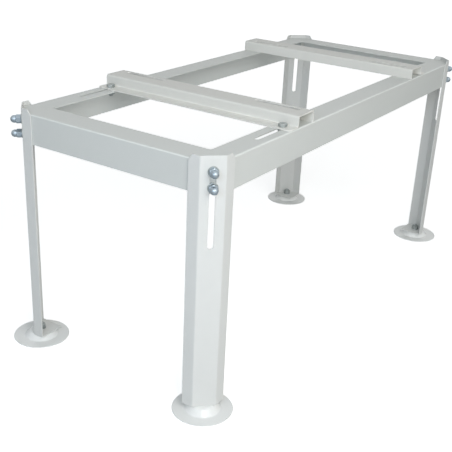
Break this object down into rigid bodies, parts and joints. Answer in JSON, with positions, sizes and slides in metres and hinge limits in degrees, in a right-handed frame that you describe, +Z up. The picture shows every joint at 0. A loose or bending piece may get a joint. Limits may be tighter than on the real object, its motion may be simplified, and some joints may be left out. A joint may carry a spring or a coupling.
{
  "type": "equipment floor stand",
  "caption": "Sheet-steel floor stand: a folded frame on folded corner legs set to height by bolts in slots, with sliding slotted crossbars and round feet.",
  "frame": {"origin": "on the floor, under the middle of the frame", "axes": "+X along the long side, +Y along the short side, +Z up"},
  "size_m": [0.978, 0.458, 0.44],
  "materials": {
    "frame_paint": "satin powder coat, pale warm grey",
    "leg_paint": "satin powder coat, pale warm grey",
    "bar_paint": "satin powder coat, pale warm grey",
    "foot_paint": "glossy powder coat, pale grey",
    "zinc": "blue zinc plate",
    "zinc_bright": "bright blue zinc plate"
  },
  "bodies": {
    "frame": {"rail_front": "frame_paint", "rail_back": "frame_paint", "rail_left": "frame_paint", "rail_right": "frame_paint", "corner_plate_front_left": "frame_paint", "corner_plate_front_right": "frame_paint", "corner_plate_back_left": "frame_paint", "corner_plate_back_right": "frame_paint", "leg_bolts_front_left": "zinc", "leg_bolts_front_right": "zinc", "leg_bolts_back_left": "zinc", "leg_bolts_back_right": "zinc", "leg_washers_front_left": "zinc", "leg_washers_front_right": "zinc", "leg_washers_back_left": "zinc", "leg_washers_back_right": "zinc", "dome_nuts_front_left": "zinc_bright", "dome_nuts_front_right": "zinc_bright", "dome_nuts_back_left": "zinc_bright", "dome_nuts_back_right": "zinc_bright"},
    "leg_front_left": {"leg_front_left": "leg_paint", "foot_front_left": "foot_paint", "foot_bolt_front_left": "zinc", "foot_washer_front_left": "zinc", "foot_nut_front_left": "zinc"},
    "leg_front_right": {"leg_front_right": "leg_paint", "foot_front_right": "foot_paint", "foot_bolt_front_right": "zinc", "foot_washer_front_right": "zinc", "foot_nut_front_right": "zinc"},
    "leg_back_left": {"leg_back_left": "leg_paint", "foot_back_left": "foot_paint", "foot_bolt_back_left": "zinc", "foot_washer_back_left": "zinc", "foot_nut_back_left": "zinc"},
    "leg_back_right": {"leg_back_right": "leg_paint", "foot_back_right": "foot_paint", "foot_bolt_back_right": "zinc", "foot_washer_back_right": "zinc", "foot_nut_back_right": "zinc"},
    "bar_left": {"crossbar_left": "bar_paint", "bar_bolts_left": "zinc", "bar_washers_left": "zinc", "bar_nuts_left": "zinc"},
    "bar_right": {"crossbar_right": "bar_paint", "bar_bolts_right": "zinc", "bar_washers_right": "zinc", "bar_nuts_right": "zinc"}
  },
  "joints": [
    {"name": "leg_front_left_height", "type": "slide", "parent": "frame", "child": "leg_front_left", "axis": [0, 0, 1], "range_m": [0, 0.09]},
    {"name": "leg_front_right_height", "type": "slide", "parent": "frame", "child": "leg_front_right", "axis": [0, 0, 1], "range_m": [0, 0.09]},
    {"name": "leg_back_left_height", "type": "slide", "parent": "frame", "child": "leg_back_left", "axis": [0, 0, 1], "range_m": [0, 0.09]},
    {"name": "leg_back_right_height", "type": "slide", "parent": "frame", "child": "leg_back_right", "axis": [0, 0, 1], "range_m": [0, 0.09]},
    {"name": "bar_left_slide", "type": "slide", "parent": "frame", "child": "bar_left", "axis": [1, 0, 0], "range_m": [-0.075, 0.015]},
    {"name": "bar_right_slide", "type": "slide", "parent": "frame", "child": "bar_right", "axis": [1, 0, 0], "range_m": [-0.056, 0.034]}
  ]
}
